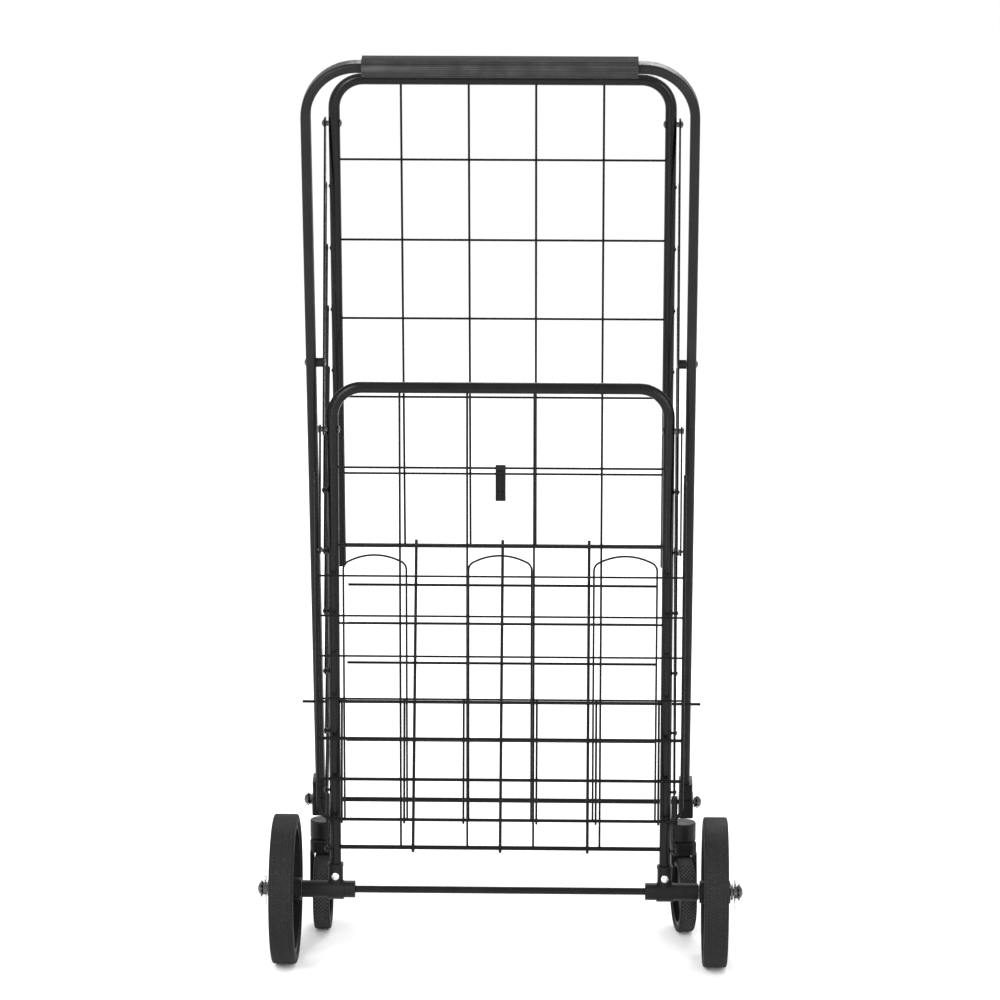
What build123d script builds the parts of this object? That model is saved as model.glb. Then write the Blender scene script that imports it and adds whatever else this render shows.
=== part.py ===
"""Folding shopping trolley, modelled folded and standing on its four wheels.

Millimetres. +X to the right as the user stands behind it, +Y forwards, +Z up.
Shapes are built with Y measured from the rear panel, and moved by ORIGIN_Y at
the end, so that the origin is on the floor at the middle of the footprint.
"""
import os
from math import asin, atan2, cos, degrees, hypot, pi, radians, sin, sqrt

from build123d import *

# ---- driving dimensions -------------------------------------------------
ORIGIN_Y = 41.1            # rear panel to the middle of the footprint

TUBE_R = 6.25              # round tube of both basket panels
TUBE_WALL = 1.2
PANEL_HALF = 181.5         # centre plane to the tube's centre line
PANEL_CORNER = 32.0        # centre-line radius of a panel's top corners
WIRE_R = 1.25              # thin basket wire
SIDE_WIRE_R = 1.2
FLOOR_WIRE_R = 1.7
FLOOR_CROSS_R = 1.5
BOTTOM_ROD_R = 2.4
WELD = 0.5                 # how far a welded wire runs into its tube

REAR_TOP_Z = 646.0
REAR_WIRES_Z = (558.0, 472.0, 384.6, 297.0, 208.5)
REAR_ROD_Z = 131.0
UPRIGHTS_X = (-109.4, -36.3, 36.3, 109.4)

AXLE_R = 4.0
AXLE_HALF = 264.0
WHEEL_R = 82.5
WHEEL_X = 237.0
WHEEL_WIDTH = 27.0
TYRE_DEPTH = 10.0
RIM_DEPTH = 6.0
HUB_R = 12.5
HUB_WIDTH = 34.0
SPOKES = 6

LINK_PIVOT_Z = 600.0       # rear end of the top links
LINK_LENGTH = 330.0
LINK_LEAN = 10.86          # degrees from upright when folded
LINK_OPEN_RISE = 10.65     # degrees above level when open
LINK_X = 190.3             # inner face of a link bar
LINK_THICK = 2.0
LINK_WIDTH = 14.0
HANDLE_ON_LINK = 72.0      # rear pivot to the handle's pivot

FRONT_LEAN = 7.0           # front panel, degrees from upright when folded
FRONT_ABOVE_BOLT = 49.0
FRONT_BELOW_BOLT = 506.0
FRONT_ROD_BELOW = 482.6
FRONT_WIRES_BELOW = (40.0, 129.8, 218.8, 309.0, 397.9)

SIDE_ROWS = 7
REAR_HOOK_PITCH = 67.3
FRONT_HOOK_PITCH = 69.7
HOOK_X = 191.4             # plane of the side wires
PIN_R = 1.5
EYE_GAP = 0.08

HANDLE_PIVOT_TO_ROD = 529.0
ROD_Z = 152.0              # front rod, whose height hardly changes in use
ROD_R = 2.75
ROD_HALF = 221.0
HANDLE_X = 205.2
HANDLE_SECTION = (10.5, 20.0)
HANDLE_TOP = 862.0         # front rod to the top bar, along the legs
HANDLE_CORNER = 55.0
GRIP_HALF = 145.0
GRIP_SECTION = (19.5, 29.0)

SOCKET_X = 206.5
SOCKET_WIDTH = 16.5
CASTER_X = 203.5
CASTER_FORWARD = 13.6      # front rod to the swivel axis
CASTER_OFFSET = -10.0      # swivel axis to the caster's axle
CASTER_R = 43.0
CASTER_WIDTH = 19.0
FORK_HALF = 14.7
FORK_PLATE = 4.0
CASTER_TURN = {"left": 0.0, "right": 8.0}

FLOOR_LEAN = 18.0          # floor panel, degrees from upright when folded
FLOOR_LENGTH = 341.0
FLOOR_PRONGS_X = (-96.0, 0.0, 96.0)
FLOOR_CROSS_AT = (74.8, 117.8, 203.5, 247.3, 290.1)
FLOOR_STOP_AT = 159.9

BASKET_Y = -15.0           # small rear basket, hanging behind the rear panel
BASKET_DROP = 130.0        # pivot on the rear panel to pivot on the basket
BASKET_X = 199.3
BASKET_WIRE_R = 1.85
BASKET_BOTTOM_Z = 167.0
BASKET_TIP_Z = 545.0
BASKET_WIRES_Z = (441.0, 396.5, 351.5, 303.5)
BASKET_RODS_Z = (258.5, 212.5)     # two thicker cross rods low down
BASKET_LINK_X = 194.3
ARCH_CENTRES = (-135.75, 0.0, 135.75)
ARCH_HALF = 34.2
ARCH_TOP_Z = 468.0
ARCH_WIRE_R = 1.15
FLOOR_WIRES_X = (-173.5, -105.0, -40.0, 40.0, 105.0, 173.5)

LATCH_WIDTH = 11.0
LATCH_LENGTH = 36.0

RUNNING = 0.06             # radial clearance of a shaft in its bore

# ---- derived places in the side view (Y, Z), folded ---------------------
LEAN = radians(LINK_LEAN)
LINK_DIR = (sin(LEAN), cos(LEAN))
BOLT = (LINK_LENGTH * LINK_DIR[0], LINK_PIVOT_Z + LINK_LENGTH * LINK_DIR[1])
HANDLE_PIVOT = (HANDLE_ON_LINK * LINK_DIR[0], LINK_PIVOT_Z + HANDLE_ON_LINK * LINK_DIR[1])
ROD_Y = HANDLE_PIVOT[0] + sqrt(HANDLE_PIVOT_TO_ROD ** 2 - (HANDLE_PIVOT[1] - ROD_Z) ** 2)
HANDLE_LEAN = asin((ROD_Y - HANDLE_PIVOT[0]) / HANDLE_PIVOT_TO_ROD)
SWIVEL_Y = ROD_Y + CASTER_FORWARD
FRONT_DOWN = (sin(radians(FRONT_LEAN)), -cos(radians(FRONT_LEAN)))
FLOOR_DIR = (sin(radians(FLOOR_LEAN)), cos(radians(FLOOR_LEAN)))


# ---- helpers -------------------------------------------------------------
def bar(start, end, radius):
    """A round bar between two points."""
    a = Vector(*start)
    b = Vector(*end)
    return Solid.make_cylinder(radius, (b - a).length, Plane(origin=a, z_dir=b - a))


def across(radius, x0, x1, y, z):
    """A round bar along X."""
    return bar((x0, y, z), (x1, y, z), radius)


def ring(radius, wire, x, y, z):
    """A wire eye whose axis is along X."""
    return Solid.make_torus(radius, wire, Plane(origin=(x, y, z), z_dir=(1, 0, 0)))


def bent(points, corners, radius):
    """Round wire along straight runs with rounded corners."""
    path = FilletPolyline(*points, radius=corners)
    section = Plane(origin=path @ 0, z_dir=path % 0) * Circle(radius)
    return sweep(section, path=path)


def both_sides(shape):
    """The shape and its mirror image in the centre plane, as separate solids."""
    return [shape, mirror(shape, about=Plane.YZ)]


def on_side(shape, side):
    """A shape made for the right side, placed on the named side."""
    return shape if side == "right" else mirror(shape, about=Plane.YZ)


def tilted(shape, lean, y, z):
    """Turn a shape that was built upright at the origin so that its top leans
    towards the user, and put its origin at (y, z)."""
    return Pos(0, y, z) * Rot(lean, 0, 0) * shape


def front_point(below):
    """A point on the front panel's plane, measured down from its bolts."""
    return (BOLT[0] + below * FRONT_DOWN[0], BOLT[1] + below * FRONT_DOWN[1])


def floor_point(along):
    """A point on the floor panel, measured from its hinge."""
    return (along * FLOOR_DIR[0], REAR_ROD_Z + along * FLOOR_DIR[1])


def head(radius, height, x, y, z, outwards=1):
    """A domed rivet head whose flat side is at x."""
    ball = (radius ** 2 + height ** 2) / (2 * height)
    half = atan2(radius, ball - height) / 2
    waist = (height - ball + ball * cos(half), ball * sin(half))
    outline = [ThreePointArc((0, radius), waist, (height, 0)),
               Line((height, 0), (0, 0)), Line((0, 0), (0, radius))]
    dome = revolve(make_face(outline), Axis.X)
    if outwards < 0:
        dome = mirror(dome, about=Plane.YZ)
    return Pos(x, y, z) * dome


def u_tube(top, bottom):
    """A panel's bent tube, hollow, upright in the plane Y = 0."""
    points = [(-PANEL_HALF, 0, bottom), (-PANEL_HALF, 0, top),
              (PANEL_HALF, 0, top), (PANEL_HALF, 0, bottom)]
    outer = bent(points, PANEL_CORNER, TUBE_R)
    bore = bent(points, PANEL_CORNER, TUBE_R - TUBE_WALL)
    return outer - bore


def uprights(top, bottom, y):
    """The four thin uprights of a panel."""
    return [bar((x, y, bottom), (x, y, top), WIRE_R) for x in UPRIGHTS_X]


def cross_wires(heights, rod_z):
    """A panel's level wires and its thicker bottom rod, welded between the legs."""
    reach = PANEL_HALF - TUBE_R + WELD
    wires = [across(WIRE_R, -reach, reach, 0, z) for z in heights]
    wires.append(across(BOTTOM_ROD_R, -reach, reach, 0, rod_z))
    return wires


# ---- rear panel and axle -------------------------------------------------
BRACKET_TOP_Z = 112.5
BRACKET_R = 8.2
BARREL_R = 9.5
LEG_END_Z = 93.0
BRACKET_RIVET_Z = 99.0
BRACKET_RIVET_R = 2.4


def bracket_rivet_bore():
    return bar((PANEL_HALF, -20, BRACKET_RIVET_Z), (PANEL_HALF, 20, BRACKET_RIVET_Z),
               BRACKET_RIVET_R + RUNNING)


def rear_panel_tube():
    tube = u_tube(REAR_TOP_Z, LEG_END_Z)
    rivet = across(3.0 + RUNNING, PANEL_HALF - 12, PANEL_HALF + 12, 0, LINK_PIVOT_Z)
    tube -= both_sides(rivet) + both_sides(bracket_rivet_bore())
    return tube


def rear_side_pins():
    """Headed pins on the rear legs that the side wires turn on."""
    pins = []
    for row in range(1, SIDE_ROWS + 1):
        z = LINK_PIVOT_Z - REAR_HOOK_PITCH * row
        pin = across(PIN_R, PANEL_HALF + TUBE_R - WELD, 193.4, 0, z)
        pin += head(2.6, 1.0, 192.9, 0, z)
        pins += both_sides(pin)
    return pins


def rear_link_rivets():
    shank = across(3.0, PANEL_HALF - TUBE_R - 0.3, 196.8, 0, LINK_PIVOT_Z)
    shank += head(4.5, 1.6, 196.6, 0, LINK_PIVOT_Z)
    shank += head(4.5, 1.6, PANEL_HALF - TUBE_R - 0.1, 0, LINK_PIVOT_Z, -1)
    return both_sides(shank)


def axle_bracket(side):
    """Moulded tee: a socket for the leg above a barrel for the axle."""
    barrel = across(BARREL_R, 160.0, 218.3, 0, WHEEL_R)
    barrel += across(BARREL_R + 1.2, PANEL_HALF - 9, PANEL_HALF + 9, 0, WHEEL_R - 0.6)
    socket = bar((PANEL_HALF, 0, WHEEL_R), (PANEL_HALF, 0, BRACKET_TOP_Z), BRACKET_R)
    collar = bar((PANEL_HALF, 0, BRACKET_TOP_Z - 3), (PANEL_HALF, 0, BRACKET_TOP_Z), BRACKET_R + 0.6)
    body = barrel + socket + collar
    body -= bar((PANEL_HALF, 0, LEG_END_Z - 0.1), (PANEL_HALF, 0, BRACKET_TOP_Z + 1), TUBE_R + RUNNING)
    body -= across(AXLE_R + RUNNING, 150, 230, 0, WHEEL_R)
    body -= bracket_rivet_bore()
    return on_side(body, side)


def bracket_rivets():
    shank = bar((PANEL_HALF, -BRACKET_R - 0.2, BRACKET_RIVET_Z),
                (PANEL_HALF, BRACKET_R + 0.2, BRACKET_RIVET_Z), BRACKET_RIVET_R)
    place = Pos(PANEL_HALF, 0, BRACKET_RIVET_Z)
    for turn in (-90, 90):
        shank += place * Rot(0, 0, turn) * head(4.0, 1.2, BRACKET_R + 0.1, 0, 0)
    return both_sides(shank)


SPLIT_PIN_X = 259.4
SPLIT_PIN_R = 1.1


def split_pin_bore():
    return bar((SPLIT_PIN_X, 0, WHEEL_R - 12), (SPLIT_PIN_X, 0, WHEEL_R + 12), SPLIT_PIN_R + 0.1)


def rear_axle():
    rod = across(AXLE_R, -AXLE_HALF, AXLE_HALF, 0, WHEEL_R)
    return rod - both_sides(split_pin_bore())


def axle_split_pins():
    """Split pins through the end caps, with an eye above and spread tails below."""
    pin = bar((SPLIT_PIN_X, 0, WHEEL_R + 8.8), (SPLIT_PIN_X, 0, WHEEL_R - 10.0), SPLIT_PIN_R)
    for way in (-1, 1):
        pin += bar((SPLIT_PIN_X, 0, WHEEL_R - 9.5), (SPLIT_PIN_X, way * 4.0, WHEEL_R - 20.0), 0.9)
    pin += ring(2.6, SPLIT_PIN_R, SPLIT_PIN_X, 0, WHEEL_R + 11.0)
    return both_sides(pin)


def axle_end_caps():
    """Push-on caps that hold the wheels on the axle."""
    cap = across(7.0, 257.5, 261.5, 0, WHEEL_R) + across(5.5, 261.0, 263.5, 0, WHEEL_R)
    cap += head(8.5, 5.0, 263.0, 0, WHEEL_R)
    cap -= across(AXLE_R + 0.02, 250, AXLE_HALF + 0.1, 0, WHEEL_R)
    cap -= split_pin_bore()
    return both_sides(cap)


def axle_washers():
    inner = across(8.5, 218.6, 219.6, 0, WHEEL_R) - across(AXLE_R + RUNNING, 218, 221, 0, WHEEL_R)
    outer = across(9.0, 254.6, 256.8, 0, WHEEL_R) - across(AXLE_R + RUNNING, 254, 258, 0, WHEEL_R)
    return both_sides(inner) + both_sides(outer)


def rounded_disc(radius, width, edge, x, y, z):
    """A disc with rounded rims whose axis is along X."""
    disc = across(radius, x - width / 2, x + width / 2, y, z)
    return fillet(disc.edges().filter_by(GeomType.CIRCLE), edge)


def rear_tyre(side):
    tyre = rounded_disc(WHEEL_R, WHEEL_WIDTH, 4.0, WHEEL_X, 0, WHEEL_R)
    inner = WHEEL_R - TYRE_DEPTH
    tyre -= across(inner, WHEEL_X - WHEEL_WIDTH, WHEEL_X + WHEEL_WIDTH, 0, WHEEL_R)
    return on_side(tyre, side)


def rear_rim(side):
    """Spoked plastic wheel centre that fills the tyre."""
    outer = WHEEL_R - TYRE_DEPTH
    half = WHEEL_WIDTH / 2 - 2.0
    rim = across(outer, WHEEL_X - half, WHEEL_X + half, 0, WHEEL_R)
    rim -= across(outer - RIM_DEPTH, WHEEL_X - 20, WHEEL_X + 20, 0, WHEEL_R)
    rim += across(HUB_R, WHEEL_X - HUB_WIDTH / 2, WHEEL_X + HUB_WIDTH / 2, 0, WHEEL_R)
    reach = outer - RIM_DEPTH / 2
    for spoke in range(SPOKES):
        arm = Pos(0, 0, HUB_R / 2 + reach / 2) * Box(9.0, 9.0, reach - HUB_R / 2)
        rim += Pos(WHEEL_X, 0, WHEEL_R) * Rot(360 / SPOKES * spoke, 0, 0) * arm
    rim -= across(AXLE_R + RUNNING, WHEEL_X - 25, WHEEL_X + 25, 0, WHEEL_R)
    return on_side(rim, side)


# ---- top links -----------------------------------------------------------
def top_link(side):
    """Flat bar from the rear leg, past the handle's pivot, to the front leg."""
    bar_body = Pos(LINK_X + LINK_THICK / 2, 0, LINK_LENGTH / 2) * Box(LINK_THICK, LINK_WIDTH, LINK_LENGTH)
    for z in (0, LINK_LENGTH):
        bar_body += across(LINK_WIDTH / 2, LINK_X, LINK_X + LINK_THICK, 0, z)
    for z, radius in ((0, 3.0), (HANDLE_ON_LINK, 2.5), (LINK_LENGTH, 3.0)):
        bar_body -= across(radius + RUNNING, LINK_X - 1, LINK_X + LINK_THICK + 1, 0, z)
    placed = Pos(0, 0, LINK_PIVOT_Z) * Rot(-LINK_LEAN, 0, 0) * bar_body
    return on_side(placed, side)


def handle_pivot_rivets():
    y, z = HANDLE_PIVOT
    rivet = across(2.5, 189.6, 211.2, y, z)
    rivet += head(4.0, 1.2, LINK_X - 0.1, y, z, -1)
    rivet += head(4.5, 1.8, HANDLE_X + HANDLE_SECTION[0] / 2 + 0.3, y, z)
    return both_sides(rivet)


def handle_pivot_spacers():
    y, z = HANDLE_PIVOT
    inner = LINK_X + LINK_THICK + 0.1
    outer = HANDLE_X - HANDLE_SECTION[0] / 2 - 0.3
    spacer = across(5.0, inner, outer, y, z) - across(2.5 + RUNNING, inner - 1, outer + 1, y, z)
    return both_sides(spacer)


# ---- front panel ---------------------------------------------------------
def placed_front(shape):
    """Lean a front-panel shape that was built with its bolts at the origin."""
    return tilted(shape, FRONT_LEAN, BOLT[0], BOLT[1])


def front_panel_tube():
    tube = u_tube(FRONT_ABOVE_BOLT, -FRONT_BELOW_BOLT)
    tube -= both_sides(across(3.0 + RUNNING, PANEL_HALF - 12, PANEL_HALF + 12, 0, 0))
    return placed_front(tube)


def front_panel_cross_wires():
    heights = [-below for below in FRONT_WIRES_BELOW]
    return [placed_front(wire) for wire in cross_wires(heights, -FRONT_ROD_BELOW)]


def front_panel_uprights():
    top = FRONT_ABOVE_BOLT - TUBE_R + WELD
    wires = uprights(top, -FRONT_ROD_BELOW, 2 * WIRE_R - 0.2)
    return [placed_front(wire) for wire in wires]


def front_link_bolts():
    bolt = across(3.0, PANEL_HALF - TUBE_R - 1.0, LINK_X + LINK_THICK + 1.0, 0, 0)
    bolt += head(4.5, 2.5, LINK_X + LINK_THICK + 0.3, 0, 0)
    bolt += head(4.5, 2.0, PANEL_HALF - TUBE_R - 0.1, 0, 0, -1)
    return [placed_front(solid) for solid in both_sides(bolt)]


def front_wire_studs():
    """Low studs on the front legs that the side wires' front eyes sit over."""
    studs = []
    for row in range(1, SIDE_ROWS + 1):
        z = -FRONT_HOOK_PITCH * row
        stud = head(2.4, 1.4, PANEL_HALF + TUBE_R - 0.3, 0, z)
        stud += across(1.4, PANEL_HALF + TUBE_R - 0.8, PANEL_HALF + TUBE_R, 0, z)
        studs += both_sides(stud)
    return [placed_front(stud) for stud in studs]


# ---- side wires ----------------------------------------------------------
FRONT_EYE_R = 3.4
TAIL_X = 197.4


def side_wires(row):
    """One wire each side: an eye round the rear pin, and an eye at the front."""
    rear = (0.0, LINK_PIVOT_Z - REAR_HOOK_PITCH * row)
    front = front_point(FRONT_HOOK_PITCH * row)
    length = hypot(front[0] - rear[0], front[1] - rear[1])
    step = ((front[0] - rear[0]) / length, (front[1] - rear[1]) / length)
    eye = PIN_R + EYE_GAP + SIDE_WIRE_R
    start = (HOOK_X, rear[0] + eye * step[0], rear[1] + eye * step[1])
    end = (HOOK_X, front[0] - FRONT_EYE_R * step[0], front[1] - FRONT_EYE_R * step[1])
    wire = bar(start, end, SIDE_WIRE_R)
    wire += ring(eye, SIDE_WIRE_R, HOOK_X, *rear)
    wire += ring(FRONT_EYE_R, SIDE_WIRE_R, HOOK_X, *front)
    if row == SIDE_ROWS:
        wire += across(SIDE_WIRE_R, HOOK_X, TAIL_X, end[1], end[2])
    return both_sides(wire)


# ---- handle --------------------------------------------------------------
def placed_handle(shape):
    """Lean a handle shape that was built with the front rod at the origin."""
    return tilted(shape, degrees(HANDLE_LEAN), ROD_Y, ROD_Z)


def oval_u(width, depth, edge, leg_end):
    """Flat-sided tube outline swept round the handle's U."""
    points = [(-HANDLE_X, 0, leg_end), (-HANDLE_X, 0, HANDLE_TOP),
              (HANDLE_X, 0, HANDLE_TOP), (HANDLE_X, 0, leg_end)]
    path = FilletPolyline(*points, radius=HANDLE_CORNER)
    section = Plane(origin=path @ 0, x_dir=(1, 0, 0), z_dir=path % 0) * RectangleRounded(width, depth, edge)
    return sweep(section, path=path)


def handle_tube():
    width, depth = HANDLE_SECTION
    leg_end = 6.0
    tube = oval_u(width, depth, 4.0, leg_end)
    tube -= oval_u(width - 2 * TUBE_WALL, depth - 2 * TUBE_WALL, 4.0 - TUBE_WALL, leg_end)
    tube -= both_sides(across(2.5 + RUNNING, HANDLE_X - 10, HANDLE_X + 10, 0, HANDLE_PIVOT_TO_ROD))
    return placed_handle(tube)


def handle_grip():
    """Foam sleeve over the top bar."""
    height, depth = GRIP_SECTION
    plane = Plane(origin=(-GRIP_HALF, 0, HANDLE_TOP), x_dir=(0, 1, 0), z_dir=(1, 0, 0))
    sleeve = extrude(plane * RectangleRounded(depth, height, 8.5), amount=2 * GRIP_HALF)
    bore = extrude(plane * RectangleRounded(HANDLE_SECTION[1] + 0.1, HANDLE_SECTION[0] + 0.1, 4.0),
                   amount=2 * GRIP_HALF)
    return placed_handle(sleeve - bore)


def leg_socket(side):
    """Moulded foot of a handle leg, which the front rod passes through."""
    foot = Pos(SOCKET_X, 0, -3.75) * Box(SOCKET_WIDTH, 26.0, 21.5)
    foot = fillet(foot.edges().filter_by(Axis.Z), 3.0)
    collar = Pos(SOCKET_X - 0.4, 0, 16.0) * Box(SOCKET_WIDTH - 1.2, 23.5, 22.0)
    collar = fillet(collar.edges().filter_by(Axis.Z), 3.0)
    foot += collar
    bore = Plane(origin=(HANDLE_X, 0, 5.9)) * RectangleRounded(
        HANDLE_SECTION[0] + 0.1, HANDLE_SECTION[1] + 0.1, 4.0)
    foot -= extrude(bore, amount=30)
    foot -= across(ROD_R + RUNNING, SOCKET_X - 20, SOCKET_X + 20, 0, 0)
    return placed_handle(on_side(foot, side))


def front_rod():
    return across(ROD_R, -ROD_HALF, ROD_HALF, ROD_Y, ROD_Z)


def front_rod_caps():
    cap = across(6.0, 215.4, 217.0, ROD_Y, ROD_Z) + across(4.2, 216.8, 220.5, ROD_Y, ROD_Z)
    cap += head(7.0, 4.6, 219.6, ROD_Y, ROD_Z)
    cap -= across(ROD_R + 0.02, 210, ROD_HALF + 0.1, ROD_Y, ROD_Z)
    return both_sides(cap)


# ---- casters -------------------------------------------------------------
HOUSING_R = 15.0
HOUSING_TOP_Z = 124.5
HOUSING_BOTTOM_Z = 104.6
CROWN_TOP_Z = 103.6
CROWN_BOTTOM_Z = 89.0
STEM_R = 4.0
STEM_TOP_Z = 117.5
EAR_X = 190.3
EAR_THICK = 7.0
EAR_R = 6.5
CASTER_AXLE_R = 2.9
ARM_END_R = 7.5


def caster_bracket(side):
    """Swivel housing with an ear that hangs on the front rod."""
    housing = bar((CASTER_X, SWIVEL_Y, HOUSING_BOTTOM_Z), (CASTER_X, SWIVEL_Y, HOUSING_TOP_Z), HOUSING_R)
    housing = fillet(housing.edges().group_by(Axis.Z)[-1], 1.5)
    plane = Plane(origin=(EAR_X, 0, 0), x_dir=(0, 1, 0), z_dir=(1, 0, 0))
    shoulder = HOUSING_TOP_Z - 3.0
    corners = [(ROD_Y - EAR_R, ROD_Z), (ROD_Y + EAR_R, ROD_Z), (SWIVEL_Y + EAR_R, shoulder),
               (SWIVEL_Y + EAR_R, HOUSING_BOTTOM_Z), (SWIVEL_Y - EAR_R, HOUSING_BOTTOM_Z),
               (SWIVEL_Y - EAR_R, shoulder)]
    ear = extrude(plane * make_face(Polyline(*corners, close=True)), amount=EAR_THICK)
    ear += across(EAR_R, EAR_X, EAR_X + EAR_THICK, ROD_Y, ROD_Z)
    web_height = shoulder - HOUSING_BOTTOM_Z
    web = Pos((EAR_X + CASTER_X) / 2, SWIVEL_Y, HOUSING_BOTTOM_Z + web_height / 2) * Box(
        CASTER_X - EAR_X, 2 * EAR_R, web_height)
    body = housing + ear + web
    body -= across(ROD_R + RUNNING, EAR_X - 5, EAR_X + EAR_THICK + 5, ROD_Y, ROD_Z)
    body -= bar((CASTER_X, SWIVEL_Y, HOUSING_BOTTOM_Z - 1), (CASTER_X, SWIVEL_Y, STEM_TOP_Z + 0.5),
                STEM_R + RUNNING)
    return on_side(body, side)


def turned(shape, side):
    """Put a caster shape under its housing, swung about the swivel axis."""
    x = CASTER_X if side == "right" else -CASTER_X
    return (Pos(x, SWIVEL_Y, 0) * Rot(0, 0, CASTER_TURN[side])) * shape


def caster_fork(side):
    """Moulded crown with a stem above it and two arms down to the axle."""
    crown = Pos(0, -1.0, (CROWN_TOP_Z + CROWN_BOTTOM_Z) / 2) * Box(
        2 * FORK_HALF, 30.0, CROWN_TOP_Z - CROWN_BOTTOM_Z)
    crown = fillet(crown.edges().filter_by(Axis.Z), 8.0)
    crown = fillet(crown.edges().group_by(Axis.Z)[-1], 2.5)
    plane = Plane(origin=(FORK_HALF - FORK_PLATE, 0, 0), x_dir=(0, 1, 0), z_dir=(1, 0, 0))
    shoulder = CROWN_BOTTOM_Z + 2.0
    corners = [(10.0, shoulder), (-12.0, shoulder), (CASTER_OFFSET - ARM_END_R, CASTER_R),
               (CASTER_OFFSET + ARM_END_R, CASTER_R)]
    arm = extrude(plane * make_face(Polyline(*corners, close=True)), amount=FORK_PLATE)
    arm += across(ARM_END_R, FORK_HALF - FORK_PLATE, FORK_HALF, CASTER_OFFSET, CASTER_R)
    arm -= across(CASTER_AXLE_R + RUNNING, 0, 30, CASTER_OFFSET, CASTER_R)
    fork = crown + arm + mirror(arm, about=Plane.YZ)
    fork += bar((0, 0, CROWN_TOP_Z - 4), (0, 0, STEM_TOP_Z), STEM_R)
    return turned(fork, side)


def caster_axle(side):
    pin = across(CASTER_AXLE_R, -FORK_HALF - 0.2, FORK_HALF + 0.2, CASTER_OFFSET, CASTER_R)
    pin += head(5.0, 2.0, FORK_HALF + 0.1, CASTER_OFFSET, CASTER_R)
    pin += head(5.0, 2.0, -FORK_HALF - 0.1, CASTER_OFFSET, CASTER_R, -1)
    return turned(pin, side)


def caster_tyre(side):
    tyre = rounded_disc(CASTER_R, CASTER_WIDTH, 2.5, 0, CASTER_OFFSET, CASTER_R)
    tyre -= across(CASTER_R - 7, -20, 20, CASTER_OFFSET, CASTER_R)
    return turned(tyre, side)


def caster_hub(side):
    """Wheel centre: a rim, a web and a hub."""
    rim = across(CASTER_R - 7, -8.0, 8.0, CASTER_OFFSET, CASTER_R)
    rim -= across(CASTER_R - 11, -20, 20, CASTER_OFFSET, CASTER_R)
    rim += across(CASTER_R - 10.5, -2.5, 2.5, CASTER_OFFSET, CASTER_R)
    rim += across(8.0, -10.2, 10.2, CASTER_OFFSET, CASTER_R)
    rim -= across(CASTER_AXLE_R + RUNNING, -20, 20, CASTER_OFFSET, CASTER_R)
    return turned(rim, side)


# ---- floor panel ---------------------------------------------------------
def floor_prongs():
    """Long wires hinged on the rear panel's bottom rod, with bare front ends."""
    eye = BOTTOM_ROD_R + EYE_GAP + FLOOR_WIRE_R
    tip = floor_point(FLOOR_LENGTH)
    base = floor_point(eye)
    prongs = []
    for x in FLOOR_PRONGS_X:
        wire = bar((x, *base), (x, *tip), FLOOR_WIRE_R)
        wire += ring(eye, FLOOR_WIRE_R, x, 0, REAR_ROD_Z)
        prongs.append(wire)
    return prongs


def floor_cross_wires():
    """Level wires welded under the prongs, and the long one that stops on the sides."""
    off = FLOOR_WIRE_R + FLOOR_CROSS_R - 0.2
    wires = []
    for along in FLOOR_CROSS_AT:
        y, z = floor_point(along)
        wires.append(across(FLOOR_CROSS_R, -171.0, 171.0, y - off * FLOOR_DIR[1], z + off * FLOOR_DIR[0]))
    y, z = floor_point(FLOOR_STOP_AT)
    reach = off + 0.2
    wires.append(across(FLOOR_WIRE_R - 0.1, -220.0, 220.0, y - reach * FLOOR_DIR[1], z + reach * FLOOR_DIR[0]))
    return wires


# ---- latch ---------------------------------------------------------------
def fold_latch():
    """Flat plastic hook that hangs from the rear panel's top wire."""
    z = REAR_WIRES_Z[0]
    bore = WIRE_R + EYE_GAP
    half = LATCH_WIDTH / 2
    body = across(bore + 2.4, -half, half, 0, z)
    body += Pos(0, -0.5, z - LATCH_LENGTH / 2) * Box(LATCH_WIDTH, 3.2, LATCH_LENGTH)
    body += Pos(0, 1.6, z - LATCH_LENGTH + 1.8) * Box(LATCH_WIDTH, 7.0, 3.6)
    body -= across(bore, -half - 1, half + 1, 0, z)
    return body


# ---- small rear basket ---------------------------------------------------
BASKET_PIVOT_Z = LINK_PIVOT_Z - BASKET_DROP


def rear_basket_links():
    plane = Plane(origin=(BASKET_LINK_X, 0, LINK_PIVOT_Z), x_dir=(0, 1, 0), z_dir=(1, 0, 0))
    length = hypot(BASKET_Y, BASKET_DROP)
    strip = SlotCenterToCenter(length, 10.0)
    angle = degrees(atan2(-BASKET_DROP, BASKET_Y))
    middle = Pos(BASKET_Y / 2, -BASKET_DROP / 2) * Rot(0, 0, angle)
    link = extrude(plane * middle * strip, amount=1.8)
    link -= across(3.0 + RUNNING, 190, 200, 0, LINK_PIVOT_Z)
    link -= across(PIN_R + RUNNING, 190, 200, BASKET_Y, BASKET_PIVOT_Z)
    return both_sides(link)


def rear_basket_frame():
    """U of thick wire with an eye at each tip."""
    points = [(-BASKET_X, BASKET_Y, BASKET_TIP_Z), (-BASKET_X, BASKET_Y, BASKET_BOTTOM_Z),
              (BASKET_X, BASKET_Y, BASKET_BOTTOM_Z), (BASKET_X, BASKET_Y, BASKET_TIP_Z)]
    frame = bent(points, 17.0, BASKET_WIRE_R)
    tip = ring(4.0, 1.6, BASKET_X, BASKET_Y, BASKET_TIP_Z + 4.5)
    return frame + tip + mirror(tip, about=Plane.YZ)


def rear_basket_cross_wires():
    reach = BASKET_X - BASKET_WIRE_R + WELD
    wires = [across(ARCH_WIRE_R, -reach, reach, BASKET_Y, z) for z in BASKET_WIRES_Z]
    y = BASKET_Y + BASKET_WIRE_R - ARCH_WIRE_R
    return wires + [across(BASKET_WIRE_R, -reach, reach, y, z) for z in BASKET_RODS_Z]


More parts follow.
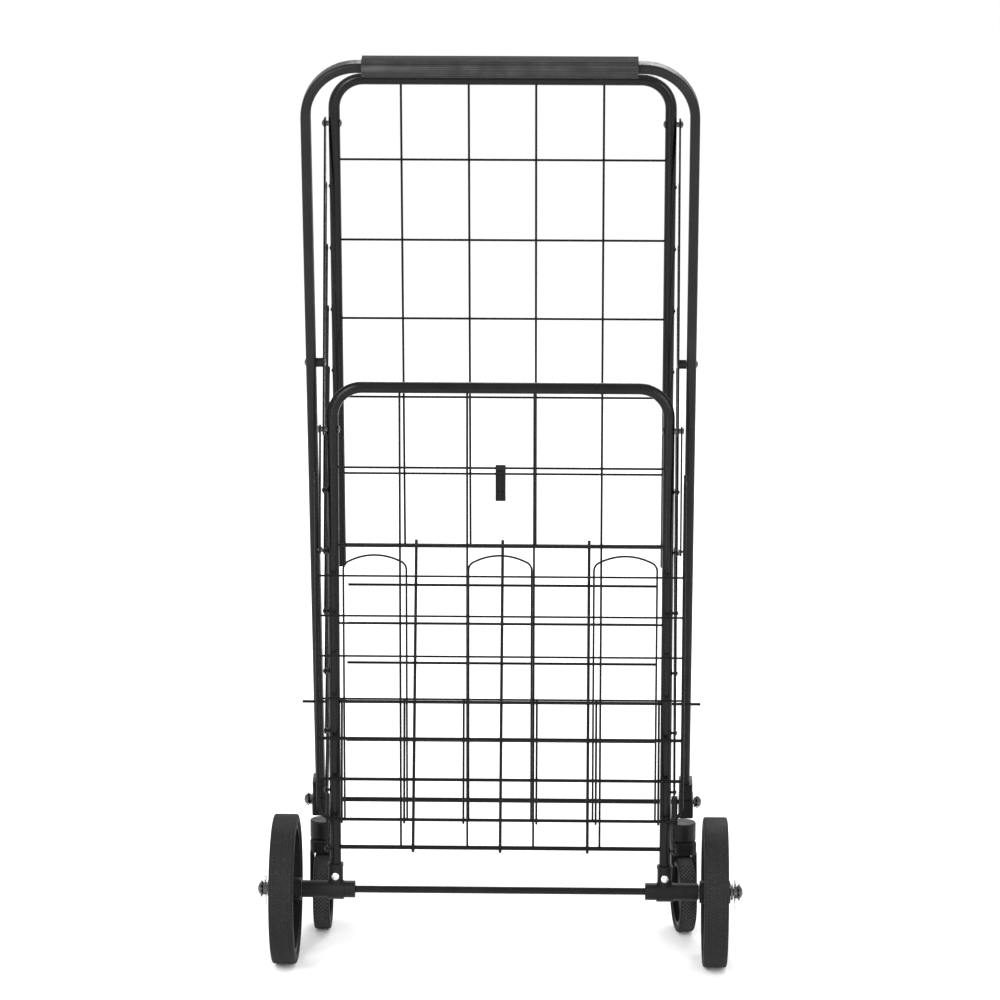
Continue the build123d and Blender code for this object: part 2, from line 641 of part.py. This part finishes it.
def rear_basket_arches():
    """Three arched wires that stand on the basket's bottom wire."""
    arches = []
    y = BASKET_Y - 2 * ARCH_WIRE_R + 0.2
    shoulder = ARCH_TOP_Z - 13.0
    for centre in ARCH_CENTRES:
        left = centre - ARCH_HALF
        right = centre + ARCH_HALF
        points = [(left, y, BASKET_BOTTOM_Z), (left, y, shoulder), (centre, y, ARCH_TOP_Z + 3.0),
                  (right, y, shoulder), (right, y, BASKET_BOTTOM_Z)]
        arches.append(bent(points, [10.0, 60.0, 10.0], ARCH_WIRE_R))
    return arches


def rear_basket_pins():
    pin = across(PIN_R, 192.9, BASKET_X, BASKET_Y, BASKET_PIVOT_Z)
    pin += across(2.8, 192.6, 194.0, BASKET_Y, BASKET_PIVOT_Z)
    return both_sides(pin)


def rear_basket_floor_wires():
    """Short wires between the rear panel's fourth wire and the basket's bottom."""
    top = (0.0, REAR_WIRES_Z[3])
    bottom = (BASKET_Y, BASKET_BOTTOM_Z)
    length = hypot(top[0] - bottom[0], top[1] - bottom[1])
    step = ((bottom[0] - top[0]) / length, (bottom[1] - top[1]) / length)
    top_eye = WIRE_R + EYE_GAP + WIRE_R
    low_eye = BASKET_WIRE_R + 0.3 + WIRE_R
    wires = []
    for x in FLOOR_WIRES_X:
        start = (x, top[0] + top_eye * step[0], top[1] + top_eye * step[1])
        end = (x, bottom[0] - low_eye * step[0], bottom[1] - low_eye * step[1])
        wire = bar(start, end, WIRE_R)
        wire += ring(top_eye, WIRE_R, x, *top)
        wire += ring(low_eye, WIRE_R, x, *bottom)
        wires.append(wire)
    return wires


# ---- the nodes -----------------------------------------------------------
def rear_panel_cross_wires():
    return cross_wires(REAR_WIRES_Z, REAR_ROD_Z)


def rear_panel_uprights():
    return uprights(REAR_TOP_Z - TUBE_R + WELD, REAR_ROD_Z, 2 * WIRE_R - 0.2)


def all_nodes():
    nodes = {}
    for make in (rear_panel_tube, rear_panel_cross_wires, rear_panel_uprights, rear_side_pins,
                 rear_link_rivets, bracket_rivets, rear_axle, axle_end_caps, axle_washers, axle_split_pins,
                 handle_pivot_rivets, handle_pivot_spacers, front_panel_tube,
                 front_panel_cross_wires, front_panel_uprights, front_link_bolts, front_wire_studs,
                 handle_tube, handle_grip, front_rod, front_rod_caps, floor_prongs,
                 floor_cross_wires, fold_latch, rear_basket_links, rear_basket_frame,
                 rear_basket_cross_wires, rear_basket_arches, rear_basket_pins,
                 rear_basket_floor_wires):
        nodes[make.__name__] = make()
    for make in (axle_bracket, rear_tyre, rear_rim, top_link, leg_socket, caster_bracket,
                 caster_fork, caster_axle, caster_tyre, caster_hub):
        for side in ("left", "right"):
            nodes[f"{make.__name__}_{side}"] = make(side)
    for row in range(1, SIDE_ROWS + 1):
        nodes[f"side_wires_{row}"] = side_wires(row)
    return nodes


def solids_of(shape):
    """Every solid of a shape or a list of shapes."""
    if isinstance(shape, (list, tuple)):
        return [solid for part in shape for solid in solids_of(part)]
    return list(shape.solids())


def main():
    os.makedirs("parts", exist_ok=True)
    lowest = []
    highest = []
    for name, shape in all_nodes().items():
        whole = Compound(solids_of(shape)).moved(Pos(0, -ORIGIN_Y, 0))
        box = whole.bounding_box()
        lowest.append(box.min.Y)
        highest.append(box.max.Y)
        export_step(whole, f"parts/{name}.step")
    print("length, front and back of the origin:", min(lowest), max(highest))


main()
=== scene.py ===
"""Look of the folding shopping trolley: materials, moulded and knurled detail, light and camera.

Metres, in the frame's own axes: +X right, +Y forwards, +Z up, origin on the floor.
"""
import math

import bmesh
import bpy
from mathutils import Matrix, Vector


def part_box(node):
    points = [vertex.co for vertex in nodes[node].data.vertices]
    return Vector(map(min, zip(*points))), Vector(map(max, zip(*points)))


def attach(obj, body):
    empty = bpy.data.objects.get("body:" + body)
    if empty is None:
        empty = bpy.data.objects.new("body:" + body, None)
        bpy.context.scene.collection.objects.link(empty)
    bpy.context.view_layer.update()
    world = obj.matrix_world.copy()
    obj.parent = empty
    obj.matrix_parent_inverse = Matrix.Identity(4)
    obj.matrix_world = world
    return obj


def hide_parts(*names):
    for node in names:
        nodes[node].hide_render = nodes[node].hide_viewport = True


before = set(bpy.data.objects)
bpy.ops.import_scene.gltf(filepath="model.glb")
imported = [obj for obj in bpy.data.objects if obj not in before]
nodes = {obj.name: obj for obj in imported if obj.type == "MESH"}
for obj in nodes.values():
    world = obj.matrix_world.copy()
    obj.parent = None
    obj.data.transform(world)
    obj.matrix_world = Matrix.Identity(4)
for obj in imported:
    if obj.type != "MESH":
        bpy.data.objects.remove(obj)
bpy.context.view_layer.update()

# ---- places, read from the frame -----------------------------------------
SIDES = {"left": -1, "right": 1}


def middle(node):
    """Middle of a node's box."""
    low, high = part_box(node)
    return (Vector(low) + Vector(high)) / 2


def extent(node):
    """Size of a node's box."""
    low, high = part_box(node)
    return Vector(high) - Vector(low)


# ---- materials -----------------------------------------------------------
NOISE_LOW = 0.3            # most of a noise lies between these two
NOISE_HIGH = 0.7
MIX_A = 6                  # colour sockets of a mix node
MIX_B = 7
MIX_RESULT = 2


def new_material(name):
    """A new material with its node tree and its shader."""
    material = bpy.data.materials.new(name)
    material.use_nodes = True
    return material, material.node_tree, material.node_tree.nodes["Principled BSDF"]


def add(tree, kind, **inputs):
    """A node with some of its inputs set."""
    node = tree.nodes.new(kind)
    for key, value in inputs.items():
        node.inputs[key.replace("_", " ")].default_value = value
    return node


def ramp(tree, source, stops):
    """A colour ramp through (position, colour) stops."""
    node = tree.nodes.new("ShaderNodeValToRGB")
    elements = node.color_ramp.elements
    while len(elements) < len(stops):
        elements.new(0.5)
    for element, (position, colour) in zip(elements, stops):
        element.position = position
        element.color = (*colour, 1.0)
    tree.links.new(source, node.inputs["Fac"])
    return node.outputs["Color"]


def map_range(tree, source, low, high):
    """Spread the middle of a noise between two values."""
    node = tree.nodes.new("ShaderNodeMapRange")
    node.inputs["From Min"].default_value = NOISE_LOW
    node.inputs["From Max"].default_value = NOISE_HIGH
    node.inputs["To Min"].default_value = low
    node.inputs["To Max"].default_value = high
    tree.links.new(source, node.inputs["Value"])
    return node.outputs["Result"]


def stretched(tree, scale):
    """Object coordinates with each axis scaled."""
    place = tree.nodes.new("ShaderNodeTexCoord")
    mapping = tree.nodes.new("ShaderNodeMapping")
    mapping.inputs["Scale"].default_value = scale
    tree.links.new(place.outputs["Object"], mapping.inputs["Vector"])
    return mapping.outputs["Vector"]


def noise(tree, vector, scale, detail=4.0, rough=0.55):
    """A fractal noise, about 0.5 on average."""
    node = add(tree, "ShaderNodeTexNoise", Scale=scale, Detail=detail, Roughness=rough)
    tree.links.new(vector, node.inputs["Vector"])
    return node.outputs["Fac"]


def bumps(tree, shader, heights):
    """Chain of bump nodes from (height, strength, distance) triples."""
    last = None
    for height, strength, distance in heights:
        bump = add(tree, "ShaderNodeBump", Strength=strength, Distance=distance)
        tree.links.new(height, bump.inputs["Height"])
        if last is not None:
            tree.links.new(last, bump.inputs["Normal"])
        last = bump.outputs["Normal"]
    tree.links.new(last, shader.inputs["Normal"])


def grey(value, warm=0.0):
    """A grey, made a little warmer or cooler."""
    return (value * (1 + warm), value, value * (1 - warm))


def coated(name, dark, light, gloss, peel, level):
    """Powder-coated steel: orange-peel surface, patchy gloss, rubbed places."""
    material, tree, shader = new_material(name)
    even = stretched(tree, (1, 1, 1))
    patches = noise(tree, even, 22.0)
    rubbed = noise(tree, even, 140.0, detail=6.0)
    colour = ramp(tree, patches, [(0.30, grey(dark)), (0.62, grey(light)), (0.80, grey(light * 1.5, 0.03))])
    tree.links.new(colour, shader.inputs["Base Color"])
    tree.links.new(map_range(tree, rubbed, gloss - 0.05, gloss + 0.12), shader.inputs["Roughness"])
    cells = add(tree, "ShaderNodeTexVoronoi", Scale=900.0)
    tree.links.new(even, cells.inputs["Vector"])
    ripple = noise(tree, even, 420.0, detail=2.0)
    bumps(tree, shader, [(cells.outputs["Distance"], peel, 0.00012), (ripple, peel * 0.8, 0.0003)])
    shader.inputs["Specular IOR Level"].default_value = level
    return material


def moulded(name, dark, light, rough, grain):
    """Moulded plastic with a fine spark-eroded grain and faint flow marks."""
    material, tree, shader = new_material(name)
    even = stretched(tree, (1, 1, 1))
    flow = noise(tree, stretched(tree, (9, 9, 42)), 1.0, detail=3.0)
    fine = noise(tree, even, 2400.0, detail=2.0)
    scuffs = noise(tree, even, 75.0, detail=8.0, rough=0.7)
    colour = ramp(tree, flow, [(0.35, grey(dark)), (0.65, grey(light))])
    tree.links.new(colour, shader.inputs["Base Color"])
    tree.links.new(map_range(tree, scuffs, rough - 0.08, rough + 0.12), shader.inputs["Roughness"])
    bumps(tree, shader, [(fine, grain, 0.0001), (scuffs, grain * 0.5, 0.0002)])
    shader.inputs["Specular IOR Level"].default_value = 0.16
    return material


def foamed():
    """Closed-cell foam sleeve: pores, a dusty sheen and streaks along its length."""
    material, tree, shader = new_material("foam_sleeve")
    even = stretched(tree, (1, 1, 1))
    pores = add(tree, "ShaderNodeTexVoronoi", Scale=1100.0)
    tree.links.new(even, pores.inputs["Vector"])
    streak = noise(tree, stretched(tree, (2, 420, 420)), 1.0, detail=4.0)
    blotch = noise(tree, even, 60.0, detail=6.0)
    mixed = add(tree, "ShaderNodeMix", Factor=0.25)
    tree.links.new(streak, mixed.inputs["A"])
    tree.links.new(blotch, mixed.inputs["B"])
    colour = ramp(tree, mixed.outputs["Result"],
                  [(0.36, grey(0.010)), (0.52, grey(0.026)), (0.64, grey(0.055))])
    tree.links.new(colour, shader.inputs["Base Color"])
    tree.links.new(map_range(tree, blotch, 0.78, 0.95), shader.inputs["Roughness"])
    bumps(tree, shader, [(pores.outputs["Distance"], 0.5, 0.0004), (streak, 0.25, 0.0003)])
    shader.inputs["Specular IOR Level"].default_value = 0.12
    return material


def rubber(name, dark, light, speck):
    """Moulded rubber: bloom, specks of dust in the knurl and a dry surface."""
    material, tree, shader = new_material(name)
    even = stretched(tree, (1, 1, 1))
    bloom = noise(tree, even, 38.0, detail=5.0)
    dust = noise(tree, even, 900.0, detail=3.0, rough=0.8)
    base = ramp(tree, bloom, [(0.3, grey(dark)), (0.7, grey(light))])
    spots = ramp(tree, dust, [(0.58, grey(0.0)), (0.74, grey(1.0))])
    mix = tree.nodes.new("ShaderNodeMix")
    mix.data_type = "RGBA"
    tree.links.new(spots, mix.inputs["Factor"])
    tree.links.new(base, mix.inputs[MIX_A])
    mix.inputs[MIX_B].default_value = (*grey(speck), 1.0)
    tree.links.new(mix.outputs[MIX_RESULT], shader.inputs["Base Color"])
    tree.links.new(map_range(tree, bloom, 0.58, 0.8), shader.inputs["Roughness"])
    bumps(tree, shader, [(dust, 0.35, 0.0002), (bloom, 0.2, 0.0006)])
    shader.inputs["Specular IOR Level"].default_value = 0.15
    return material


def plated(name, dark, light, smooth, dull):
    """Plated steel: drawn lines, spangle and dull spots."""
    material, tree, shader = new_material(name)
    even = stretched(tree, (1, 1, 1))
    spangle = add(tree, "ShaderNodeTexVoronoi", Scale=700.0)
    tree.links.new(even, spangle.inputs["Vector"])
    drawn = noise(tree, stretched(tree, (30, 900, 900)), 1.0, detail=4.0)
    colour = ramp(tree, spangle.outputs["Color"], [(0.1, grey(dark, 0.02)), (0.9, grey(light, 0.01))])
    tree.links.new(colour, shader.inputs["Base Color"])
    shader.inputs["Metallic"].default_value = 1.0
    tree.links.new(map_range(tree, drawn, smooth, dull), shader.inputs["Roughness"])
    bumps(tree, shader, [(drawn, 0.2, 0.0001)])
    return material


BLACK_COAT = coated("gloss_black_coat", 0.0025, 0.0045, 0.20, 0.25, 0.16)
WIRE_COAT = coated("wire_black_coat", 0.0025, 0.0045, 0.26, 0.30, 0.10)
SATIN_COAT = coated("satin_black_coat", 0.005, 0.008, 0.38, 0.40, 0.16)
PLASTIC = moulded("black_moulding", 0.003, 0.006, 0.42, 0.35)
RIM_PLASTIC = moulded("wheel_moulding", 0.003, 0.006, 0.36, 0.25)
FOAM = foamed()
# The tread-groove materials below are lighter than their rubber and go on the knurl grooves: partly dust,
# partly a painted highlight along the knurl.
TYRE = rubber("tyre_rubber", 0.005, 0.009, 0.060)
TYRE_GROOVE_DUST_AND_HIGHLIGHT = rubber("tyre_tread_dust_and_highlight", 0.009, 0.017, 0.090)
CASTER_RUBBER = rubber("caster_rubber", 0.006, 0.010, 0.090)
CASTER_GROOVE_DUST_AND_HIGHLIGHT = rubber("caster_tread_dust_and_highlight", 0.030, 0.060, 0.160)
ZINC = plated("zinc_plate", 0.55, 0.78, 0.22, 0.42)
CHROME = plated("dark_chrome", 0.05, 0.12, 0.10, 0.24)

# Nodes that aren't named here are wire, in WIRE_COAT.
LOOK = {
    "rear_panel_tube": BLACK_COAT, "front_panel_tube": BLACK_COAT, "rear_basket_links": BLACK_COAT,
    "front_rod": BLACK_COAT, "rear_axle": BLACK_COAT,
    "rear_side_pins": BLACK_COAT, "front_wire_studs": BLACK_COAT,
    "handle_tube": SATIN_COAT, "handle_grip": FOAM,
    "handle_pivot_spacers": PLASTIC, "fold_latch": PLASTIC,
    "bracket_rivets": ZINC, "axle_split_pins": ZINC,
    "axle_washers": CHROME, "axle_end_caps": CHROME, "front_rod_caps": CHROME,
    "rear_link_rivets": CHROME, "handle_pivot_rivets": CHROME, "front_link_bolts": CHROME,
    "rear_basket_pins": CHROME,
}
PAIRED_LOOK = {
    "top_link": BLACK_COAT, "axle_bracket": PLASTIC, "leg_socket": PLASTIC,
    "caster_bracket": PLASTIC, "caster_fork": PLASTIC,
    "rear_rim": RIM_PLASTIC, "caster_hub": RIM_PLASTIC,
    "rear_tyre": TYRE, "caster_tyre": CASTER_RUBBER, "caster_axle": ZINC,
}
for kind, material in PAIRED_LOOK.items():
    for side in SIDES:
        LOOK[f"{kind}_{side}"] = material


def paint(obj, material):
    """Leave an object with one material."""
    obj.data.materials.clear()
    obj.data.materials.append(material)


for name, obj in nodes.items():
    paint(obj, LOOK.get(name, WIRE_COAT))


# ---- meshes --------------------------------------------------------------
def placed(name, mesh, material):
    """A painted object in the scene for a mesh."""
    obj = bpy.data.objects.new(name, mesh)
    bpy.context.collection.objects.link(obj)
    paint(obj, material)
    return obj


def mesh_object(name, points, faces, material):
    """A painted object from points and faces."""
    mesh = bpy.data.meshes.new(name)
    mesh.from_pydata(points, [], faces)
    mesh.update()
    return placed(name, mesh, material)


# ---- knurled tyres -------------------------------------------------------
def smooth_normals(obj, angle):
    """Outward normals, shaded smooth except across sharp edges."""
    work = bmesh.new()
    work.from_mesh(obj.data)
    bmesh.ops.recalc_face_normals(work, faces=work.faces)
    for face in work.faces:
        face.smooth = True
    for edge in work.edges:
        if len(edge.link_faces) == 2 and edge.calc_face_angle() > math.radians(angle):
            edge.smooth = False
    work.to_mesh(obj.data)
    work.free()


SHOULDER = 0.0022          # rounded edge between tread and side
SHOULDER_BULGE = 0.35      # how near its corner the rounded edge passes
SIDE_STEP = 0.0016         # from the shoulder down to the flat side
SIDE_EASE = 0.0003
BEAD_IN = 0.0008           # chamfer where the tyre meets the rim
BEAD_UP = 0.0012
TREAD_COLUMNS = 20
STEPS_PER_DIAMOND = 8
GROOVE_FROM = 0.72         # share of a diamond's half width that stays uncut
GROOVE_DUST_AND_HIGHLIGHT_CUT = 1.2            # faces cut deeper than this, over four corners, get the lighter groove material: dust and a painted highlight


def tyre_profile(radius, width, inner):
    """(across, reach, is tread) points round a tyre's section."""
    half = width / 2
    edge = [(half - SHOULDER * SHOULDER_BULGE, radius - SHOULDER * SHOULDER_BULGE),
            (half - SIDE_EASE, radius - SHOULDER),
            (half, radius - SHOULDER - SIDE_STEP),
            (half, inner + BEAD_UP),
            (half - BEAD_IN, inner)]
    tread = []
    for step in range(TREAD_COLUMNS + 1):
        across = -half + SHOULDER + (width - 2 * SHOULDER) * step / TREAD_COLUMNS
        tread.append((across, radius, True))
    left = [(-across, reach, False) for across, reach in reversed(edge)]
    right = [(across, reach, False) for across, reach in edge]
    return left + tread + right


def groove(along, across, pitch):
    """Depth of the diamond knurl at a place on the tread, 0 to 1."""
    cut = 0.0
    for slope in (-1, 1):
        wave = abs((along + slope * across) / pitch % 1.0 - 0.5) * 2
        cut = max(cut, (wave - GROOVE_FROM) / (1 - GROOVE_FROM))
    return cut


def tyre(name, node, body, centre, turn, radius, width, inner, repeats, depth, material, dust):
    """A tyre with a shallow diamond knurl, swung by turn degrees about the vertical."""
    profile = tyre_profile(radius, width, inner)
    steps = repeats * STEPS_PER_DIAMOND
    pitch = 2 * math.pi * radius / repeats
    points = []
    cuts = []
    for turn_step in range(steps):
        angle = 2 * math.pi * turn_step / steps
        along = angle * radius
        for across, reach, is_tread in profile:
            cut = groove(along, across, pitch) if is_tread else 0.0
            r = reach - depth * cut
            points.append((across, r * math.sin(angle), r * math.cos(angle)))
            cuts.append(cut)
    count = len(profile)
    faces = []
    for turn_step in range(steps):
        after = (turn_step + 1) % steps
        for column in range(count):
            beside = (column + 1) % count
            faces.append((turn_step * count + column, after * count + column,
                          after * count + beside, turn_step * count + beside))
    obj = mesh_object(name, points, faces, material)
    # The deep-cut groove faces get the second, lighter material: dust in the grooves plus a painted
    # highlight on the knurl.
    obj.data.materials.append(dust)
    for face, corners in zip(obj.data.polygons, faces):
        face.material_index = int(sum(cuts[corner] for corner in corners) > GROOVE_DUST_AND_HIGHLIGHT_CUT)
    place = Matrix.Translation(centre) @ Matrix.Rotation(math.radians(turn), 4, "Z")
    obj.data.transform(place)
    smooth_normals(obj, 60.0)
    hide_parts(node)
    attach(obj, body)


REAR_TYRE_DEPTH = 0.010
REAR_DIAMONDS = 130
REAR_GROOVE = 0.00030
CASTER_TYRE_DEPTH = 0.007
CASTER_WIDTH = 0.019       # across the tread; the swung caster's box is wider
CASTER_DIAMONDS = 58
CASTER_GROOVE = 0.00045
CASTER_TURN = {"left": 0.0, "right": 8.0}
for side in SIDES:
    rear = extent(f"rear_tyre_{side}")
    tyre(f"rear_tread_{side}", f"rear_tyre_{side}", f"rear_wheel_{side}", middle(f"rear_tyre_{side}"),
         0.0, rear.z / 2, rear.x, rear.z / 2 - REAR_TYRE_DEPTH, REAR_DIAMONDS, REAR_GROOVE,
         TYRE, TYRE_GROOVE_DUST_AND_HIGHLIGHT)
    small = extent(f"caster_tyre_{side}")
    tyre(f"caster_tread_{side}", f"caster_tyre_{side}", f"caster_wheel_{side}",
         middle(f"caster_tyre_{side}"), CASTER_TURN[side], small.z / 2, CASTER_WIDTH,
         small.z / 2 - CASTER_TYRE_DEPTH, CASTER_DIAMONDS, CASTER_GROOVE,
         CASTER_RUBBER, CASTER_GROOVE_DUST_AND_HIGHLIGHT)


# ---- small fittings ------------------------------------------------------
WASHER_THICK = 0.0007
WASHER_DISH = 0.0016       # how far the bore stands up
WASHER_STEP = 0.0006
WASHER_LIP = 0.0012        # width of the raised lip round the bore
TOOTH_LIFT = 0.0022
GAP_LIFT = 0.0004
PHASES = 4                 # steps per tooth: two on the tooth, two in the gap
TOOTH_PHASES = (1, 2)
SECTION = (0, 2, 4, 6, 7, 5, 3, 1)     # its points in order round the washer's section


def star_washer(name, body, centre, outwards, bore, reach, teeth):
    """A push-on star washer: a dished ring whose teeth bend outwards."""
    rings = ((bore, WASHER_DISH), (bore + WASHER_LIP, WASHER_STEP), (reach * 0.72, 0.0))
    steps = teeth * PHASES
    points = []
    for step in range(steps):
        angle = 2 * math.pi * step / steps
        on_tooth = step % PHASES in TOOTH_PHASES
        tip = reach if on_tooth else reach * 0.76
        lift = TOOTH_LIFT if on_tooth else GAP_LIFT
        for radius, height in (*rings, (tip, lift)):
            for thick in (0.0, WASHER_THICK):
                points.append((outwards * (height + thick), radius * math.sin(angle),
                               radius * math.cos(angle)))
    per = len(SECTION)
    faces = []
    for step in range(steps):
        after = (step + 1) % steps
        for a, b in zip(SECTION, SECTION[1:] + SECTION[:1]):
            faces.append((step * per + a, after * per + a, after * per + b, step * per + b))
    obj = mesh_object(name, points, faces, CHROME)
    obj.data.transform(Matrix.Translation(centre))
    smooth_normals(obj, 30.0)
    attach(obj, body)


ROD_STAR_X = 0.2172        # behind the domes of the rod and axle caps
AXLE_STAR_X = 0.2616
rod = middle("front_rod")
axle = middle("rear_axle")
for side, sign in SIDES.items():
    star_washer(f"rod_star_{side}", "handle", Vector((sign * ROD_STAR_X, rod.y, rod.z)), sign,
                0.0046, 0.0078, 9)
    star_washer(f"axle_star_{side}", "rear_panel", Vector((sign * AXLE_STAR_X, axle.y, axle.z)),
                sign, 0.0056, 0.0098, 10)


RIB_SINK = 0.0004          # how far a rib runs into the latch
RIB_HALF = 0.0008
RIB_STANDS = 0.0007
BAND_HALF = 0.0007
BAND_STANDS = 0.0005
RIB_SPREAD = 0.86          # the outer ribs' place, as a share of the half width


def latch_rib(name, low, high):
    """A small block on the latch, its edges rounded."""
    work = bmesh.new()
    bmesh.ops.create_cube(work, size=1.0)
    size = Vector(high) - Vector(low)
    bmesh.ops.scale(work, vec=size, verts=work.verts)
    bmesh.ops.translate(work, vec=(Vector(low) + Vector(high)) / 2, verts=work.verts)
    bmesh.ops.bevel(work, geom=work.edges[:], offset=min(size) * 0.25, segments=2, affect="EDGES")
    mesh = bpy.data.meshes.new(name)
    work.to_mesh(mesh)
    work.free()
    obj = placed(name, mesh, PLASTIC)
    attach(obj, "latch")


def latch_ribs():
    """Three upright ribs and two level bands on the back of the latch."""
    low, high = (Vector(corner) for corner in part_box("fold_latch"))
    mid = (low.x + high.x) / 2
    spread = (high.x - low.x) / 2 * RIB_SPREAD
    sunk = low.y + RIB_SINK
    for index, x in enumerate((mid - spread, mid, mid + spread)):
        latch_rib(f"latch_rib_{index}", (x - RIB_HALF, low.y - RIB_STANDS, low.z + 0.001),
                  (x + RIB_HALF, sunk, high.z - 0.007))
    for index, z in enumerate((low.z + 0.009, high.z - 0.012)):
        latch_rib(f"latch_band_{index}", (mid - spread, low.y - BAND_STANDS, z - BAND_HALF),
                  (mid + spread, sunk, z + BAND_HALF))


latch_ribs()


# ---- floor, light and camera ---------------------------------------------
FLOOR_HALF = 30.0
AIM = Vector((0.0, 0.0, 0.5))


def plain_floor():
    """A pale floor with hardly any grain."""
    material, tree, shader = new_material("pale_floor")
    grain = noise(tree, stretched(tree, (1, 1, 1)), 3.0)
    colour = ramp(tree, grain, [(0.2, grey(0.92)), (0.8, grey(0.94))])
    tree.links.new(colour, shader.inputs["Base Color"])
    shader.inputs["Roughness"].default_value = 0.9
    shader.inputs["Specular IOR Level"].default_value = 0.1
    corners = [(x * FLOOR_HALF, y * FLOOR_HALF, 0) for x, y in ((-1, -1), (1, -1), (1, 1), (-1, 1))]
    mesh_object("floor", corners, [(0, 1, 2, 3)], material)


def area_light(name, place, width, height, watts):
    """A soft box aimed at the middle of the trolley."""
    light = bpy.data.lights.new(name, "AREA")
    light.shape = "RECTANGLE"
    light.size = width
    light.size_y = height
    light.energy = watts
    obj = bpy.data.objects.new(name, light)
    obj.location = place
    obj.rotation_euler = (AIM - Vector(place)).to_track_quat("-Z", "Y").to_euler()
    bpy.context.collection.objects.link(obj)


plain_floor()
area_light("key", (-1.9, -2.6, 2.7), 1.4, 1.8, 95)
area_light("fill", (2.6, -2.2, 1.8), 0.9, 2.2, 50)
area_light("left_strip", (-1.5, -3.0, 0.9), 0.09, 2.0, 26)
area_light("right_strip", (1.3, -3.3, 0.8), 0.07, 2.0, 18)
area_light("rim", (0.6, 2.8, 2.6), 2.2, 1.2, 60)

world = bpy.data.worlds.new("studio")
world.use_nodes = True
background = world.node_tree.nodes["Background"]
background.inputs["Color"].default_value = (1.0, 1.0, 1.0, 1.0)
background.inputs["Strength"].default_value = 1.08
bpy.context.scene.world = world
bpy.context.scene.view_settings.view_transform = "Standard"

CAMERA_BEHIND_AXLE = 4.45
CAMERA_PLACE = Vector((0.105, axle.y - CAMERA_BEHIND_AXLE, 1.4568))
YAW = math.radians(-1.36)
PITCH = math.radians(11.85)
ROLL = math.radians(0.08)
LENS = 151.2
SENSOR = 36.0

forwards = Vector((math.sin(YAW) * math.cos(PITCH), math.cos(YAW) * math.cos(PITCH), -math.sin(PITCH)))
level = Vector((math.cos(YAW), -math.sin(YAW), 0.0))
upright = level.cross(forwards)
right = level * math.cos(ROLL) + upright * math.sin(ROLL)
above = upright * math.cos(ROLL) - level * math.sin(ROLL)
camera_data = bpy.data.cameras.new("camera")
camera_data.lens = LENS
camera_data.sensor_width = SENSOR
camera = bpy.data.objects.new("camera", camera_data)
turn = Matrix((right, above, -forwards)).transposed().to_4x4()
camera.matrix_world = Matrix.Translation(CAMERA_PLACE) @ turn
bpy.context.collection.objects.link(camera)
bpy.context.scene.camera = camera
